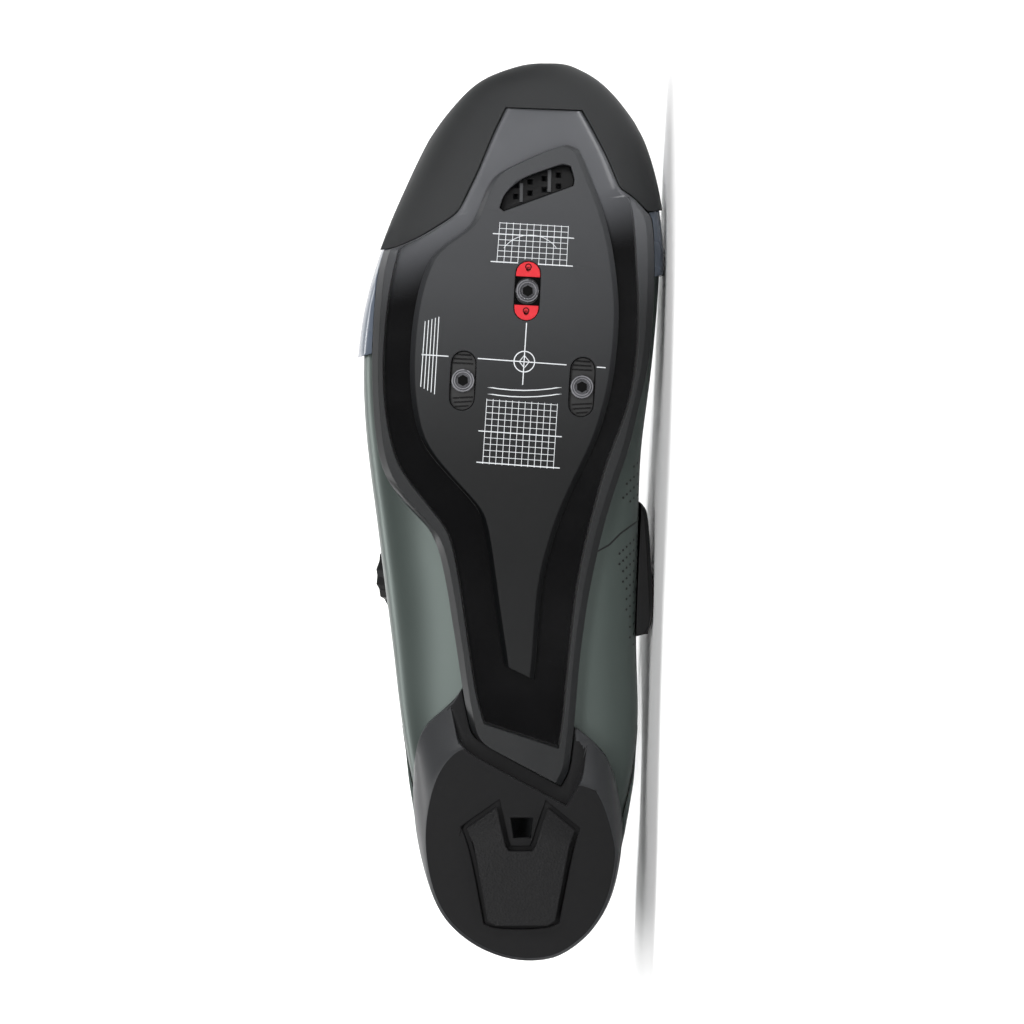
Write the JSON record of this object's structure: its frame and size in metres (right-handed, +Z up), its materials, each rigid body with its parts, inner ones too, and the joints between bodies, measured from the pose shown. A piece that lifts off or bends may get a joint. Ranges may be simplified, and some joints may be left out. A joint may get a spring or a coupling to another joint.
{
  "type": "road cycling shoe",
  "caption": "Right-foot road cycling shoe on its side: hollow upper with strap and lace dial, stiff sole with a raised cleat plate, bolt slots and a heel tread pad.",
  "frame": {"origin": "middle of the bounding box's base, on the floor the shoe lies on", "axes": "+X from the heel to the toe, +Y from the sole to the collar (the sole faces -Y and about 3 degrees upward), +Z up, toward the lateral side"},
  "size_m": [0.2802, 0.1114, 0.0944],
  "materials": {
    "upper": "satin",
    "power_strap": "satin",
    "insole": "matte",
    "tongue": "matte",
    "sole": "satin",
    "cleat_plate": "satin",
    "vent_grille": "matte",
    "slide": "satin",
    "nut": "satin",
    "stop": "satin",
    "toe_bumper": "matte",
    "forefoot_guard": "satin",
    "heel_base": "matte",
    "heel_pad": "matte",
    "heel_counter": "satin",
    "heel_tab": "matte",
    "strap_anchor": "satin",
    "dial": "satin",
    "lace_cable": "satin",
    "guide": "satin"
  },
  "bodies": {
    "root": {"upper": "upper", "power_strap": "power_strap", "insole": "insole", "tongue": "tongue", "sole": "sole", "cleat_plate": "cleat_plate", "vent_grille": "vent_grille", "slide_front": "slide", "slide_lateral": "slide", "slide_medial": "slide", "nut_front": "nut", "nut_lateral": "nut", "nut_medial": "nut", "stop_front": "stop", "stop_rear": "stop", "toe_bumper": "toe_bumper", "forefoot_guard": "forefoot_guard", "heel_base": "heel_base", "heel_pad": "heel_pad", "heel_counter": "heel_counter", "heel_tab": "heel_tab", "strap_anchor": "strap_anchor", "dial_base": "dial", "dial_knob": "dial", "lace_cable": "lace_cable", "guide_lateral_front": "guide", "guide_lateral_rear": "guide", "guide_medial": "guide", "guide_strap": "guide"}
  },
  "joints": []
}
